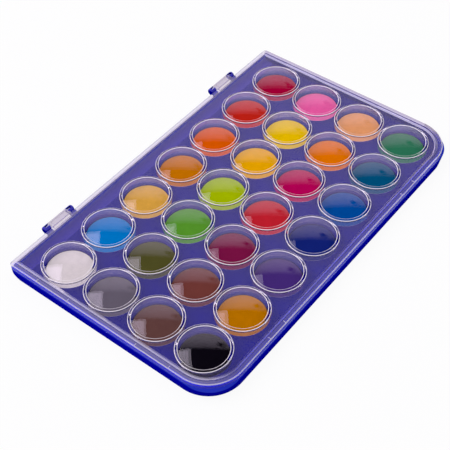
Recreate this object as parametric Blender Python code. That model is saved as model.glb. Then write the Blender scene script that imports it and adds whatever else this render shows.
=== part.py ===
"""Watercolour paint box: a shallow moulded tray with twenty-eight round paint cakes in
cups, under a clear hinged lid that has a ring skirt and a dome over every cake.

+X runs along the hinge, +Y to the hinge side and +Z up. The origin is on the resting
plane, in the middle of the whole outline, with the lid closed."""

import math

import bmesh
import bpy
from mathutils import Matrix, Vector

MM = 0.001

# Fits
FIT = 0.3 * MM
OVERRUN = 1.0 * MM
WELD = 0.005 * MM

# Paint cakes
COLUMNS = 7
ROWS = 4
CAKE_RADIUS = 11.3 * MM
CAKE_THICKNESS = 2.05 * MM
CAKE_BEVEL = 0.35 * MM
CAKE_RECESS = 0.05 * MM

# Tray
CUP_WALL = 1.0 * MM
CUP_FLOOR = 0.9 * MM
FLOOR_THICKNESS = 1.2 * MM
WALL = 1.3 * MM
LEDGE_RISE = 2.5 * MM
UPSTAND_RISE = 1.9 * MM
UPSTAND_WALL = 0.85 * MM
REAR_UPSTAND_WALL = 0.8 * MM
TRAY_CORNER_RADIUS = 15.2 * MM
FOOT_CORNER_RADIUS = 18.3 * MM
FOOT_DRAFT = 0.3 * MM
SWEEP_RADIUS = 7.0 * MM
SWEEP_START = 7.5 * MM
RAIL_THICKNESS = 1.2 * MM
END_WALL_RADIUS = 7.0 * MM
END_LAND = 0.5 * MM

# Lid
LID_SKIRT_WALL = 1.05 * MM
REAR_SKIRT_WALL = 0.9 * MM
RIB_WALL = 1.05 * MM
REAR_RIB_WALL = 0.8 * MM
RIM_CLEARANCE = 0.4 * MM
RIM_THICKNESS = 1.1 * MM
RIM_STEP = 0.7 * MM
RIM_ROUND = 0.3 * MM
REAR_RIM_WIDTH = 2.3 * MM
PLATE_THICKNESS = 1.1 * MM
LID_CORNER_RADIUS = 18.9 * MM
REAR_CORNER_RADIUS = 1.8 * MM
LEAST_CORNER_RADIUS = 0.4 * MM

# Ring skirts and domes of the lid
RING_CLEARANCE = 0.75 * MM
RING_WALL = 0.8 * MM
RING_LIFT = 0.9 * MM
COLUMN_GAP = 1.4 * MM
ROW_GAP = 1.0 * MM
SIDE_LANE = 1.55 * MM
FRONT_LANE = 4.3 * MM
REAR_LANE = 5.1 * MM
STEP_RISE = 0.47 * MM
STEP_WIDTH = 1.45 * MM
STEP_SINK = 0.1 * MM
DOME_RISE = 1.7 * MM
DOME_THICKNESS = 1.1 * MM

# Snap blocks in the lid's channel, and the tray's notches under them
FRONT_BLOCK_LENGTH = 11.3 * MM
FRONT_BLOCK_COLUMNS = (-2, 2)
SIDE_BLOCK_LENGTH = 19.5 * MM
SIDE_BLOCK_ROW_SHARES = (0.2, 2.42)
BLOCK_DEPTH = 0.7 * MM

# Hinges
HINGE_SPACING = 130.0 * MM
HINGE_SETBACK = 3.6 * MM
HINGE_RISE = 0.6 * MM
BARREL_RADIUS = 1.8 * MM
BARREL_LENGTH = 12.1 * MM
TAB_RISE = 0.1 * MM
TAB_THICKNESS = 1.7 * MM
TAB_RECESS_DEPTH = 0.3 * MM
TAB_RECESS_BORDER = 1.2 * MM
EAR_LENGTH = 3.7 * MM
EAR_ROUND = 0.8 * MM
ARM_DROP = 0.2 * MM
ARM_LIFT = 0.15 * MM
PIN_RADIUS = 0.9 * MM
PIN_REACH = 2.2 * MM
SNAP_LIP = 0.2 * MM

# Facets
CELL_SIDES = 16
CUP_SIDES = 12
FRONT_CORNER_STEPS = 7
REAR_CORNER_STEPS = 2
SWEEP_STEPS = 5
BARREL_SIDES = 14
PIN_SIDES = 10
EAR_ROUND_STEPS = 2
DOME_STEPS = 2
SMOOTH_ANGLE = math.radians(40)

# Heights, from the resting plane up
CAKE_Z = CUP_FLOOR + FIT
FLOOR_Z = CAKE_Z + CAKE_THICKNESS + CAKE_RECESS
LEDGE_Z = FLOOR_Z + LEDGE_RISE
UPSTAND_Z = LEDGE_Z + UPSTAND_RISE
SKIRT_Z = LEDGE_Z + FIT
CHANNEL_Z = UPSTAND_Z + RIM_CLEARANCE
RIM_Z = CHANNEL_Z + RIM_THICKNESS
PLATE_Z = RIM_Z - RIM_STEP
RING_Z = FLOOR_Z + RING_LIFT
DOME_Z = PLATE_Z + STEP_RISE
AXIS_Z = LEDGE_Z + HINGE_RISE

# Radii in one cell
POCKET_RADIUS = CAKE_RADIUS + FIT
CUP_RADIUS = POCKET_RADIUS + CUP_WALL
RING_INNER = POCKET_RADIUS + RING_CLEARANCE
RING_OUTER = RING_INNER + RING_WALL
DOME_RADIUS = RING_OUTER - STEP_WIDTH

# How far each face of the rim lies inside the lid's outline, at the sides and front and at the rear
UPSTAND_IN = LID_SKIRT_WALL + FIT
UPSTAND_END = UPSTAND_IN + UPSTAND_WALL
RIB_IN = UPSTAND_END + FIT
RIB_END = RIB_IN + RIB_WALL
REAR_UPSTAND_IN = REAR_SKIRT_WALL + FIT
REAR_UPSTAND_END = REAR_UPSTAND_IN + REAR_UPSTAND_WALL
REAR_RIB_IN = REAR_UPSTAND_END + FIT
REAR_RIB_END = REAR_RIB_IN + REAR_RIB_WALL

# Plan
COLUMN_PITCH = 2 * RING_OUTER + COLUMN_GAP
ROW_PITCH = 2 * RING_OUTER + ROW_GAP
HALF_LENGTH = (COLUMNS - 1) / 2 * COLUMN_PITCH + RING_OUTER + SIDE_LANE + RIB_END
FRONT_MARGIN = RIB_END + FRONT_LANE + RING_OUTER
REAR_MARGIN = REAR_RIB_END + REAR_LANE + RING_OUTER
LID_DEPTH = FRONT_MARGIN + (ROWS - 1) * ROW_PITCH + REAR_MARGIN
FRONT_Y = -(LID_DEPTH + HINGE_SETBACK + BARREL_RADIUS) / 2
REAR_Y = FRONT_Y + LID_DEPTH
AXIS_Y = REAR_Y + HINGE_SETBACK
SWEEP_Y = REAR_Y - SWEEP_START
SWEEP_Z = FLOOR_Z + SWEEP_RADIUS

# Paint colours, from the -X end to the +X end, in rows from the hinge to the front
PAINTS = (
    ("white", "sky_blue", "naples_yellow", "golden_brown", "orange", "vermilion", "crimson"),
    ("grey", "olive", "green", "lime", "amber", "yellow", "pink"),
    ("dark_brown", "red_brown", "burgundy", "scarlet", "magenta", "light_orange", "peach"),
    ("black", "ochre", "purple", "navy", "blue", "teal", "emerald"),
)
PAINT_COLOURS = {
    "white": (0.80, 0.78, 0.77),
    "sky_blue": (0.00, 0.16, 0.55),
    "naples_yellow": (0.68, 0.34, 0.05),
    "golden_brown": (0.55, 0.13, 0.00),
    "orange": (0.68, 0.08, 0.00),
    "vermilion": (0.52, 0.01, 0.01),
    "crimson": (0.33, 0.00, 0.03),
    "grey": (0.10, 0.09, 0.12),
    "olive": (0.06, 0.06, 0.01),
    "green": (0.04, 0.26, 0.02),
    "lime": (0.33, 0.43, 0.00),
    "amber": (0.83, 0.38, 0.00),
    "yellow": (0.76, 0.52, 0.00),
    "pink": (0.87, 0.10, 0.38),
    "dark_brown": (0.08, 0.03, 0.03),
    "red_brown": (0.14, 0.03, 0.02),
    "burgundy": (0.17, 0.00, 0.03),
    "scarlet": (0.58, 0.00, 0.01),
    "magenta": (0.46, 0.00, 0.08),
    "light_orange": (0.76, 0.17, 0.00),
    "peach": (0.75, 0.30, 0.14),
    "black": (0.003, 0.003, 0.005),
    "ochre": (0.46, 0.16, 0.00),
    "purple": (0.04, 0.01, 0.16),
    "navy": (0.00, 0.01, 0.16),
    "blue": (0.00, 0.06, 0.33),
    "teal": (0.00, 0.07, 0.16),
    "emerald": (0.01, 0.14, 0.05),
}


def clear_scene():
    for obj in list(bpy.data.objects):
        bpy.data.objects.remove(obj)


def material(name, colour, roughness, transmission=0.0):
    made = bpy.data.materials.new(name)
    made.use_nodes = True
    shader = made.node_tree.nodes["Principled BSDF"]
    shader.inputs["Base Color"].default_value = (*colour, 1.0)
    shader.inputs["Metallic"].default_value = 0.0
    shader.inputs["Roughness"].default_value = roughness
    shader.inputs["Transmission Weight"].default_value = transmission
    made.diffuse_color = (*colour, 1.0 - 0.7 * transmission)
    return made


def new_object(name, bm, origin=(0, 0, 0)):
    """An object with this mesh, whose own origin lies at the given place."""
    bmesh.ops.translate(bm, verts=bm.verts, vec=-Vector(origin))
    bmesh.ops.recalc_face_normals(bm, faces=bm.faces)
    mesh = bpy.data.meshes.new(name)
    bm.to_mesh(mesh)
    bm.free()
    obj = bpy.data.objects.new(name, mesh)
    obj.location = origin
    bpy.context.scene.collection.objects.link(obj)
    return obj


def combine(obj, other, operation):
    """Joins or cuts obj with other, and keeps the result as obj's own mesh."""
    modifier = obj.modifiers.new(operation.lower(), "BOOLEAN")
    modifier.object = other
    modifier.operation = operation
    modifier.solver = "EXACT"
    graph = bpy.context.evaluated_depsgraph_get()
    result = bpy.data.meshes.new_from_object(obj.evaluated_get(graph))
    bm = bmesh.new()
    bm.from_mesh(result)
    bmesh.ops.remove_doubles(bm, verts=bm.verts, dist=WELD)
    bmesh.ops.dissolve_degenerate(bm, edges=bm.edges, dist=WELD)
    bm.to_mesh(result)
    bm.free()
    obj.modifiers.clear()
    obj.data = result
    bpy.data.objects.remove(other)


def finish(obj, look):
    obj.data.materials.clear()
    obj.data.materials.append(look)
    obj.data.shade_smooth()
    obj.data.set_sharp_from_angle(angle=SMOOTH_ANGLE)


def corner(centre_x, centre_y, radius, start, steps, z):
    """A quarter turn of a rounded outline, counter-clockwise from the start angle."""
    turns = [start + math.pi / 2 * step / steps for step in range(steps + 1)]
    return [
        Vector((centre_x + radius * math.cos(t), centre_y + radius * math.sin(t), z))
        for t in turns
    ]


def outline(inset, rear_inset, z, front_radius=LID_CORNER_RADIUS, keep_radius=False):
    """The box's rounded outline at height z. An inset outline is drawn in at its corners
    too, unless keep_radius gives its front corners the radius as it is."""
    front = front_radius if keep_radius else front_radius - inset
    front = max(front, LEAST_CORNER_RADIUS)
    rear = max(REAR_CORNER_RADIUS - rear_inset, LEAST_CORNER_RADIUS)
    side_x = HALF_LENGTH - inset
    front_y = FRONT_Y + inset
    rear_y = REAR_Y - rear_inset
    quarter = math.pi / 2
    return (
        corner(side_x - rear, rear_y - rear, rear, 0, REAR_CORNER_STEPS, z)
        + corner(rear - side_x, rear_y - rear, rear, quarter, REAR_CORNER_STEPS, z)
        + corner(front - side_x, front_y + front, front, 2 * quarter, FRONT_CORNER_STEPS, z)
        + corner(side_x - front, front_y + front, front, 3 * quarter, FRONT_CORNER_STEPS, z)
    )


def loft(loops):
    """A closed body through a row of outlines with the same number of points."""
    bm = bmesh.new()
    rings = [[bm.verts.new(point) for point in loop] for loop in loops]
    for ring in rings:
        for start, end in zip(ring, ring[1:] + ring[:1]):
            bm.edges.new((start, end))
    for below, above in zip(rings, rings[1:]):
        count = len(below)
        for index in range(count):
            after = (index + 1) % count
            bm.faces.new((below[index], below[after], above[after], above[index]))
    bm.faces.new(rings[0])
    bm.faces.new(rings[-1])
    return bm


def turned(profile, sides):
    """A body turned about Z from (radius, height) points that start and end on the axis."""
    bm = bmesh.new()
    points = [bm.verts.new((radius, 0, z)) for radius, z in profile]
    edges = [bm.edges.new(pair) for pair in zip(points, points[1:])]
    bmesh.ops.spin(
        bm,
        geom=points + edges,
        axis=(0, 0, 1),
        cent=(0, 0, 0),
        angle=2 * math.pi,
        steps=sides,
        use_merge=True,
    )
    bmesh.ops.remove_doubles(bm, verts=bm.verts, dist=WELD)
    return bm


def prism(points, start_x, end_x):
    """A body with this outline of (y, z) points, drawn along X."""
    return loft([[Vector((x, y, z)) for y, z in points] for x in (start_x, end_x)])


def block(low, high):
    """A box between two opposite corners."""
    bm = bmesh.new()
    bmesh.ops.create_cube(bm, size=1)
    low, high = Vector(low), Vector(high)
    bmesh.ops.scale(bm, verts=bm.verts, vec=high - low)
    bmesh.ops.translate(bm, verts=bm.verts, vec=(low + high) / 2)
    return bm


def rod(radius, sides, start_x, end_x):
    """A round bar along the hinge axis."""
    bm = bmesh.new()
    bmesh.ops.create_cone(
        bm,
        cap_ends=True,
        segments=sides,
        radius1=radius,
        radius2=radius,
        depth=end_x - start_x,
        matrix=Matrix.Translation(((start_x + end_x) / 2, AXIS_Y, AXIS_Z))
        @ Matrix.Rotation(math.pi / 2, 4, "Y"),
    )
    return bm


def cell_centres():
    """The middle of every cell, with its row and column."""
    for row in range(ROWS):
        for column in range(COLUMNS):
            x = (column - (COLUMNS - 1) / 2) * COLUMN_PITCH
            y = REAR_Y - REAR_MARGIN - row * ROW_PITCH
            yield row, column, Vector((x, y, 0))


def in_every_cell(bm):
    """One mesh with a copy of this body in each cell."""
    mesh = bpy.data.meshes.new("cell")
    bm.to_mesh(mesh)
    bm.free()
    together = bmesh.new()
    for _, _, centre in cell_centres():
        first = len(together.verts)
        together.from_mesh(mesh)
        together.verts.ensure_lookup_table()
        bmesh.ops.translate(together, verts=together.verts[first:], vec=centre)
    bpy.data.meshes.remove(mesh)
    return together


def arc(centre_y, centre_z, radius, start, end, steps):
    """Points (y, z) on an arc, with its angles measured from +Y towards +Z."""
    turns = [start + (end - start) * step / steps for step in range(steps + 1)]
    return [(centre_y + radius * math.cos(t), centre_z + radius * math.sin(t)) for t in turns]


def add_rear_sweep(tray):
    """Bends the floor up to the hinge rail, and rounds the end walls to the same form."""
    outer = SWEEP_RADIUS + FLOOR_THICKNESS
    bottom = -math.pi / 2
    rail_z = LEDGE_Z - RAIL_THICKNESS
    rail = math.asin((rail_z - SWEEP_Z) / outer)
    under = arc(SWEEP_Y, SWEEP_Z, outer, bottom, rail, SWEEP_STEPS)
    behind = REAR_Y + OVERRUN
    under += [(behind, rail_z), (behind, -OVERRUN), (SWEEP_Y, -OVERRUN)]
    inner_x = HALF_LENGTH - WALL - FOOT_DRAFT - END_LAND
    combine(tray, new_object("sweep_cut", prism(under, -inner_x, inner_x)), "DIFFERENCE")

    face_y = REAR_Y - REAR_UPSTAND_END
    face = -math.acos((face_y - SWEEP_Y) / SWEEP_RADIUS)
    cove = arc(SWEEP_Y, SWEEP_Z, SWEEP_RADIUS, bottom, face, SWEEP_STEPS)
    sunk_z = FLOOR_Z - FLOOR_THICKNESS / 2
    sunk_y = face_y + REAR_UPSTAND_WALL / 2
    top_z = cove[-1][1]
    middle = outer - FLOOR_THICKNESS / 2
    core = arc(SWEEP_Y, SWEEP_Z, middle, math.asin((top_z - SWEEP_Z) / middle), bottom, SWEEP_STEPS)
    slab = cove + [(sunk_y, top_z)] + core[:-1] + [(SWEEP_Y, sunk_z)]
    inner_x = HALF_LENGTH - UPSTAND_END + UPSTAND_WALL / 2
    combine(tray, new_object("cove", prism(slab, -inner_x, inner_x)), "UNION")

    heel = arc(REAR_Y - END_WALL_RADIUS, END_WALL_RADIUS, END_WALL_RADIUS, bottom, 0, SWEEP_STEPS)
    heel = [point for point in heel if point[1] < LEDGE_Z]
    heel += [(behind, heel[-1][1]), (behind, -OVERRUN), (heel[0][0], -OVERRUN)]
    across = HALF_LENGTH + OVERRUN
    combine(tray, new_object("heel_cut", prism(heel, -across, across)), "DIFFERENCE")


def block_plans():
    """The low and high corner in plan of each snap block, across the lid's channel."""
    half = FRONT_BLOCK_LENGTH / 2
    for column in FRONT_BLOCK_COLUMNS:
        x = column * COLUMN_PITCH
        yield (x - half, FRONT_Y + LID_SKIRT_WALL), (x + half, FRONT_Y + RIB_IN)
    half = SIDE_BLOCK_LENGTH / 2
    for side in (-1, 1):
        near, far = sorted((side * (HALF_LENGTH - LID_SKIRT_WALL), side * (HALF_LENGTH - RIB_IN)))
        for row_share in SIDE_BLOCK_ROW_SHARES:
            y = REAR_Y - REAR_MARGIN - row_share * ROW_PITCH
            yield (near, y - half), (far, y + half)


def cut_notches(tray):
    """Lowers the upstand under each snap block of the lid."""
    for low, high in block_plans():
        notch = block(
            (low[0] - FIT, low[1] - FIT, UPSTAND_Z - BLOCK_DEPTH),
            (high[0] + FIT, high[1] + FIT, UPSTAND_Z + OVERRUN),
        )
        combine(tray, new_object("notch", notch), "DIFFERENCE")


def ear_ends(hinge_x, side):
    """Where an ear starts beside the barrel and where it ends, as x."""
    near = hinge_x + side * (BARREL_LENGTH / 2 + FIT)
    return near, near + side * EAR_LENGTH


def ear_body(near, far):
    """A round bar beside the barrel, with its free end rounded over."""
    bm = rod(BARREL_RADIUS, BARREL_SIDES, min(near, far), max(near, far))
    middle = (near + far) / 2
    free = [e for e in bm.edges if all((v.co.x > middle) == (far > near) for v in e.verts)]
    bmesh.ops.bevel(
        bm,
        geom=free,
        offset=EAR_ROUND,
        segments=EAR_ROUND_STEPS,
        profile=0.5,
        affect="EDGES",
    )
    return bm


def add_ears(tray):
    """The two slotted ears of each hinge, on arms from the rail under the lid's rear rim."""
    for hinge_x in (-HINGE_SPACING / 2, HINGE_SPACING / 2):
        for side in (-1, 1):
            near, far = ear_ends(hinge_x, side)
            ear = new_object("ear", ear_body(near, far))
            arm = block(
                (min(near, far), REAR_Y - REAR_SKIRT_WALL, AXIS_Z - BARREL_RADIUS + ARM_LIFT),
                (max(near, far), AXIS_Y, LEDGE_Z - ARM_DROP),
            )
            combine(ear, new_object("arm", arm), "UNION")
            combine(tray, ear, "UNION")
            cut_pin_seat(tray, near, side)


def cut_pin_seat(tray, near, side):
    """A round seat for the lid's pin, open upwards through a mouth narrower than the pin."""
    start = near - side * OVERRUN
    end = near + side * (PIN_REACH + FIT)
    low, high = min(start, end), max(start, end)
    seat = new_object("seat", rod(PIN_RADIUS + FIT, PIN_SIDES, low, high))
    mouth = PIN_RADIUS - SNAP_LIP
    slot = block(
        (low, AXIS_Y - mouth, AXIS_Z),
        (high, AXIS_Y + mouth, AXIS_Z + BARREL_RADIUS + OVERRUN),
    )
    combine(seat, new_object("slot", slot), "UNION")
    combine(tray, seat, "DIFFERENCE")


def make_tray(look):
    """The moulded tray: walls, ledge and upstand in one loft, cups, rear sweep and ears."""
    foot = {"front_radius": FOOT_CORNER_RADIUS, "keep_radius": True}
    ledge = {"front_radius": TRAY_CORNER_RADIUS, "keep_radius": True}
    inside = {"front_radius": FOOT_CORNER_RADIUS - WALL, "keep_radius": True}
    under_z = FLOOR_Z - FLOOR_THICKNESS
    bm = loft(
        [
            outline(WALL + FOOT_DRAFT, WALL, under_z, **inside),
            outline(WALL + FOOT_DRAFT, WALL, 0, **inside),
            outline(FOOT_DRAFT, 0, 0, **foot),
            outline(0, 0, LEDGE_Z, **ledge),
            outline(UPSTAND_IN, REAR_UPSTAND_IN, LEDGE_Z),
            outline(UPSTAND_IN, REAR_UPSTAND_IN, UPSTAND_Z),
            outline(UPSTAND_END, REAR_UPSTAND_END, UPSTAND_Z),
            outline(UPSTAND_END, REAR_UPSTAND_END, FLOOR_Z),
        ]
    )
    tray = new_object("base_tray", bm)
    add_rear_sweep(tray)
    sunk_z = FLOOR_Z - FLOOR_THICKNESS / 2
    cups = turned(((0, sunk_z), (CUP_RADIUS, sunk_z), (CUP_RADIUS, 0), (0, 0)), CUP_SIDES)
    combine(tray, new_object("cups", in_every_cell(cups)), "UNION")
    top_z = FLOOR_Z + OVERRUN
    pocket_profile = ((0, top_z), (POCKET_RADIUS, top_z), (POCKET_RADIUS, CUP_FLOOR), (0, CUP_FLOOR))
    pockets = turned(pocket_profile, CELL_SIDES)
    combine(tray, new_object("pockets", in_every_cell(pockets)), "DIFFERENCE")
    cut_notches(tray)
    add_ears(tray)
    finish(tray, look)
    return tray


def dome_profile(edge_radius, edge_z, rise):
    """Points (radius, z) from the top of a spherical cap to its edge."""
    ball = (edge_radius**2 + rise**2) / (2 * rise)
    centre_z = edge_z + rise - ball
    widest = math.asin(edge_radius / ball)
    turns = [widest * step / DOME_STEPS for step in range(DOME_STEPS + 1)]
    return [(ball * math.sin(t), centre_z + ball * math.cos(t)) for t in turns]


def add_cells(lid):
    """A stepped dome and a hanging ring skirt over each cake, hollow from below."""
    profile = dome_profile(DOME_RADIUS, DOME_Z, DOME_RISE)
    sunk_radius = RING_OUTER + STEP_WIDTH * STEP_SINK / STEP_RISE
    profile += [(sunk_radius, PLATE_Z - STEP_SINK), (RING_OUTER, PLATE_Z - PLATE_THICKNESS / 2)]
    profile += [(RING_OUTER, RING_Z), (0, RING_Z)]
    cells = in_every_cell(turned(profile, CELL_SIDES))
    combine(lid, new_object("cells", cells), "UNION")
    hollow = dome_profile(RING_INNER, DOME_Z - DOME_THICKNESS, DOME_RISE)
    hollow += [(RING_INNER, RING_Z - OVERRUN), (0, RING_Z - OVERRUN)]
    hollows = in_every_cell(turned(hollow, CELL_SIDES))
    combine(lid, new_object("hollows", hollows), "DIFFERENCE")


def add_blocks(lid):
    """The snap blocks that fill the top of the rim's channel, over the tray's notches."""
    for low, high in block_plans():
        sunk = LID_SKIRT_WALL / 2
        along_x = high[0] - low[0] > high[1] - low[1]
        grow = (0, sunk) if along_x else (sunk, 0)
        piece = block(
            (low[0] - grow[0], low[1] - grow[1], CHANNEL_Z - BLOCK_DEPTH),
            (high[0] + grow[0], high[1] + grow[1], CHANNEL_Z + RIM_THICKNESS / 2),
        )
        combine(lid, new_object("block", piece), "UNION")


def add_tabs(lid):
    """The lid's half of each hinge: a tab to a barrel, with a stub pin at both ends."""
    for hinge_x in (-HINGE_SPACING / 2, HINGE_SPACING / 2):
        half = BARREL_LENGTH / 2
        barrel = new_object("barrel", rod(BARREL_RADIUS, BARREL_SIDES, hinge_x - half, hinge_x + half))
        top_z = AXIS_Z + BARREL_RADIUS + TAB_RISE
        tab = block(
            (hinge_x - half, REAR_Y - REAR_SKIRT_WALL / 2, top_z - TAB_THICKNESS),
            (hinge_x + half, AXIS_Y, top_z),
        )
        combine(barrel, new_object("tab", tab), "UNION")
        reach = half + FIT + PIN_REACH
        pins = new_object("pins", rod(PIN_RADIUS, PIN_SIDES, hinge_x - reach, hinge_x + reach))
        combine(barrel, pins, "UNION")
        recess = block(
            (hinge_x - half + TAB_RECESS_BORDER, REAR_Y + TAB_RECESS_BORDER / 2, top_z - TAB_RECESS_DEPTH),
            (hinge_x + half - TAB_RECESS_BORDER, AXIS_Y, top_z + OVERRUN),
        )
        combine(barrel, new_object("recess", recess), "DIFFERENCE")
        combine(lid, barrel, "UNION")


def make_lid(look):
    """The clear lid: rim, skirt and locating rib in one loft, then cells, blocks and tabs."""
    under_z = PLATE_Z - PLATE_THICKNESS
    bm = loft(
        [
            outline(RIB_END, REAR_RIB_END, under_z),
            outline(RIB_END, REAR_RIB_END, SKIRT_Z),
            outline(RIB_IN, REAR_RIB_IN, SKIRT_Z),
            outline(RIB_IN, REAR_RIB_IN, CHANNEL_Z),
            outline(LID_SKIRT_WALL, REAR_SKIRT_WALL, CHANNEL_Z),
            outline(LID_SKIRT_WALL, REAR_SKIRT_WALL, SKIRT_Z),
            outline(0, 0, SKIRT_Z),
            outline(0, 0, RIM_Z - RIM_ROUND),
            outline(RIM_ROUND, RIM_ROUND, RIM_Z),
            outline(RIB_END - RIM_ROUND, REAR_RIM_WIDTH - RIM_ROUND, RIM_Z),
            outline(RIB_END + RIM_ROUND, REAR_RIM_WIDTH + RIM_ROUND, PLATE_Z),
        ]
    )
    lid = new_object("clear_lid", bm, origin=(0, AXIS_Y, AXIS_Z))
    add_cells(lid)
    add_blocks(lid)
    add_tabs(lid)
    finish(lid, look)
    return lid


def make_cakes(tray):
    """One pressed cake of paint in every pocket, with a bevelled upper edge."""
    profile = (
        (0, CAKE_THICKNESS),
        (CAKE_RADIUS - CAKE_BEVEL, CAKE_THICKNESS),
        (CAKE_RADIUS, CAKE_THICKNESS - CAKE_BEVEL),
        (CAKE_RADIUS, 0),
        (0, 0),
    )
    for row, column, centre in cell_centres():
        paint = PAINTS[row][column]
        cake = new_object(f"paint_cake_{paint}", turned(profile, CELL_SIDES))
        cake.location = centre + Vector((0, 0, CAKE_Z))
        cake.parent = tray
        finish(cake, material(f"{paint}_paint", PAINT_COLOURS[paint], 0.75))


def build():
    clear_scene()
    tray = make_tray(material("blue_plastic", (0.0, 0.0, 0.31), 0.3))
    hinge = bpy.data.objects.new("lid_hinge", None)
    hinge.location = (0, AXIS_Y, AXIS_Z)
    bpy.context.scene.collection.objects.link(hinge)
    lid = make_lid(material("clear_plastic", (0.92, 0.92, 0.96), 0.05, transmission=1.0))
    lid.location = (0, 0, 0)
    lid.parent = hinge
    make_cakes(tray)


build()
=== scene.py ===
"""Watercolour paint box, seen as in its photograph: a blue moulded tray with 28 cakes of
dry paint, shut under a clear lid with a dome and a hanging ring over every cake."""

import math

import bmesh
import bpy
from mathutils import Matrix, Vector


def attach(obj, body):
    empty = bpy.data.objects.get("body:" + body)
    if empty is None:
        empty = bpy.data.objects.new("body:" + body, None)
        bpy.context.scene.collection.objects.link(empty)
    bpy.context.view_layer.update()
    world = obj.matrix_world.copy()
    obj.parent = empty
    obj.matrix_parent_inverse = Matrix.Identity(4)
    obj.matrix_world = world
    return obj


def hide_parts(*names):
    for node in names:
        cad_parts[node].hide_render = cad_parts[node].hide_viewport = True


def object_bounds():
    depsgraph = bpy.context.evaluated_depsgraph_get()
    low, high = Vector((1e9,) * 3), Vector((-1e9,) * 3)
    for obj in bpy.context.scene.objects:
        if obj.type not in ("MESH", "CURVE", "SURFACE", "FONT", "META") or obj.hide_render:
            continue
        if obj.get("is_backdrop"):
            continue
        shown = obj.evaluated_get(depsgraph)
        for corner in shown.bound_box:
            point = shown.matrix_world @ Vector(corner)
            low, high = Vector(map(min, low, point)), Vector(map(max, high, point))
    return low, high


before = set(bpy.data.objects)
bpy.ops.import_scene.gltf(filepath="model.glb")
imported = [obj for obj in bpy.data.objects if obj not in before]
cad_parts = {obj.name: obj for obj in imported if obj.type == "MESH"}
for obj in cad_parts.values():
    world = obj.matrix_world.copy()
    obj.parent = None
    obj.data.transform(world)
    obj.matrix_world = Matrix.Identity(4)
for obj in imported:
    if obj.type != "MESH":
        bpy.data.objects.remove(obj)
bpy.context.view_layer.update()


# ---------------------------------------------------------------- camera
# The camera stands over the front left corner and looks down across the box at 46 degrees,
# with the long lens that the photograph's nearly parallel edges ask for.

bpy.ops.object.camera_add(
    location=(-0.278487, -0.215936, 0.371556),
    rotation=[math.radians(turn) for turn in (42.50, 0.977104, -52.007943)],
)
camera = bpy.context.object
camera.name = "photo_camera"
camera.data.lens = 81.15
camera.data.sensor_width = 36
bpy.context.scene.camera = camera
bpy.context.scene.view_settings.view_transform = "Standard"


# ---------------------------------------------------------------- studio
# A white table under even light, a large softbox behind the box to the left, a smaller one at
# the right, and the backdrop that the lid's domes mirror: bright behind the box, dark overhead.

GLASS_BOUNCES = 24
bpy.context.scene.cycles.max_bounces = GLASS_BOUNCES
bpy.context.scene.cycles.transmission_bounces = GLASS_BOUNCES
bpy.context.scene.cycles.transparent_max_bounces = 2 * GLASS_BOUNCES


def wire(tree, node_type, inputs=(), **settings):
    """A new node with these settings, whose inputs take either values or other sockets."""
    node = tree.nodes.new(node_type)
    for name, value in settings.items():
        setattr(node, name, value)
    for slot, value in dict(inputs).items():
        if isinstance(value, bpy.types.NodeSocket):
            tree.links.new(value, node.inputs[slot])
        else:
            node.inputs[slot].default_value = value
    return node


def reckon(tree, first, second, operation="MULTIPLY"):
    """The product of two values or sockets, or what another operation makes of them."""
    return wire(tree, "ShaderNodeMath", {0: first, 1: second}, operation=operation).outputs[0]


def seen_rays(tree):
    """A share of 1 for rays from the camera, from glossy surfaces and through clear ones."""
    path = wire(tree, "ShaderNodeLightPath")
    shown = reckon(tree, path.outputs["Is Camera Ray"], path.outputs["Is Glossy Ray"], "MAXIMUM")
    return reckon(tree, shown, path.outputs["Is Transmission Ray"], "MAXIMUM")


# The lid mirrors and bends the backdrop, and all else gets an even light from every side.
world = bpy.data.worlds.new("studio")
world.use_nodes = True
bpy.context.scene.world = world
tree = world.node_tree
tree.nodes.clear()
path = wire(tree, "ShaderNodeLightPath")
direction = wire(tree, "ShaderNodeTexCoord").outputs["Generated"]
rise, bearing = math.radians(10), math.radians(37)
backdrop_at = (
    math.cos(rise) * math.cos(bearing),
    math.cos(rise) * math.sin(bearing),
    math.sin(rise),
)
off_backdrop = wire(
    tree, "ShaderNodeVectorMath", {0: direction, 1: backdrop_at}, operation="DOT_PRODUCT"
)
backdrop = wire(tree, "ShaderNodeValToRGB", {"Fac": off_backdrop.outputs["Value"]})
# How bright the backdrop is, by the cosine of the angle from its middle.
brightness = {
    0.655: 0.0,
    0.682: 0.30,
    0.731: 0.42,
    0.788: 0.57,
    0.848: 0.68,
    0.94: 0.76,
    0.97: 0.92,
    0.988: 1.0,
}
stops = backdrop.color_ramp.elements
stops[0].position, stops[1].position = min(brightness), max(brightness)
for position in list(brightness)[1:-1]:
    stops.new(position)
for stop, level in zip(stops, brightness.values()):
    stop.color = (level, 0.86 * level, 1.08 * level, 1)
# A small dark stand in front of it leaves a mark on the far side of every dome. The cosines
# are those of its soft outline and of its solid core.
stand_at = Vector((0.648, 0.17, 0.742)).normalized()
stand_outline, stand_core = 0.9972, 0.9989
off_stand = wire(
    tree, "ShaderNodeVectorMath", {0: direction, 1: stand_at}, operation="DOT_PRODUCT"
)
clear_of_stand = wire(
    tree,
    "ShaderNodeMapRange",
    {
        "Value": off_stand.outputs["Value"],
        "From Min": stand_outline,
        "From Max": stand_core,
        "To Min": 1.0,
        "To Max": 0.0,
    },
)
ambient = wire(tree, "ShaderNodeBackground", {"Color": (1, 1, 1, 1), "Strength": 0.65})
mirrored = wire(
    tree,
    "ShaderNodeBackground",
    {"Color": backdrop.outputs["Color"], "Strength": reckon(tree, clear_of_stand.outputs[0], 1.31)},
)
white = wire(tree, "ShaderNodeBackground", {"Color": (1, 1, 1, 1), "Strength": 1})
in_lid = reckon(
    tree, path.outputs["Is Glossy Ray"], path.outputs["Is Transmission Ray"], "MAXIMUM"
)
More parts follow.
